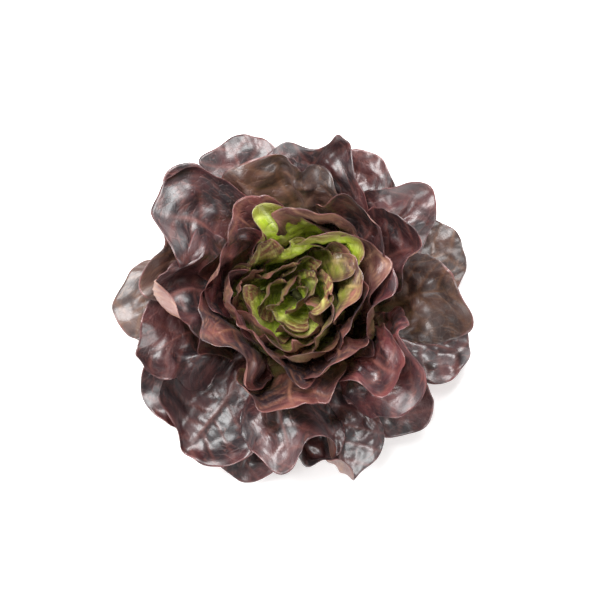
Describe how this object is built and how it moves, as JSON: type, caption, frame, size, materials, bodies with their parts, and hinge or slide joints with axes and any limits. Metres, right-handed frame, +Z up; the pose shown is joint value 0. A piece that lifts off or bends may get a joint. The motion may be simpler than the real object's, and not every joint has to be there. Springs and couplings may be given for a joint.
{
  "type": "butterhead lettuce",
  "caption": "Open butterhead lettuce with puckered dark red outer leaves round a yellow-green heart, standing on its cut stem.",
  "frame": {"origin": "centre of the stem's flat cut face, where the head stands on a table", "axes": "+Z up along the stem towards the heart; +X and +Y lie on the table, and have no special meaning on a round head"},
  "size_m": [0.259, 0.2573, 0.12],
  "materials": {
    "red_leaf": "waxy, dark purple-brown, with a soft sheen",
    "green_leaf": "waxy, yellow-green, with red edges",
    "stem": "pale green, cut across"
  },
  "bodies": {
    "root": {"stem": "stem", "leaf_01": "green_leaf", "leaf_02": "green_leaf", "leaf_03": "green_leaf", "leaf_04": "green_leaf", "leaf_05": "green_leaf", "leaf_06": "green_leaf", "leaf_07": "green_leaf", "leaf_08": "green_leaf", "leaf_09": "green_leaf", "leaf_10": "green_leaf", "leaf_11": "green_leaf", "leaf_12": "green_leaf", "leaf_13": "red_leaf", "leaf_14": "red_leaf", "leaf_15": "green_leaf", "leaf_16": "red_leaf", "leaf_17": "red_leaf", "leaf_18": "red_leaf", "leaf_19": "red_leaf", "leaf_20": "green_leaf", "leaf_21": "red_leaf", "leaf_22": "red_leaf", "leaf_23": "green_leaf", "leaf_24": "red_leaf", "leaf_25": "red_leaf", "leaf_26": "red_leaf", "leaf_27": "red_leaf", "leaf_28": "red_leaf", "leaf_29": "red_leaf", "leaf_30": "red_leaf", "leaf_31": "red_leaf", "leaf_32": "red_leaf", "leaf_33": "red_leaf", "leaf_34": "red_leaf", "leaf_35": "red_leaf", "leaf_36": "red_leaf", "leaf_37": "red_leaf", "leaf_38": "red_leaf", "leaf_39": "red_leaf", "leaf_40": "red_leaf", "leaf_41": "red_leaf", "leaf_42": "red_leaf", "leaf_43": "red_leaf", "leaf_44": "red_leaf", "leaf_45": "red_leaf", "leaf_46": "red_leaf", "leaf_47": "red_leaf", "leaf_48": "red_leaf", "leaf_49": "red_leaf", "leaf_50": "red_leaf", "leaf_51": "red_leaf", "leaf_52": "red_leaf", "leaf_53": "red_leaf", "leaf_54": "red_leaf", "leaf_55": "red_leaf", "leaf_56": "red_leaf"}
  },
  "joints": []
}
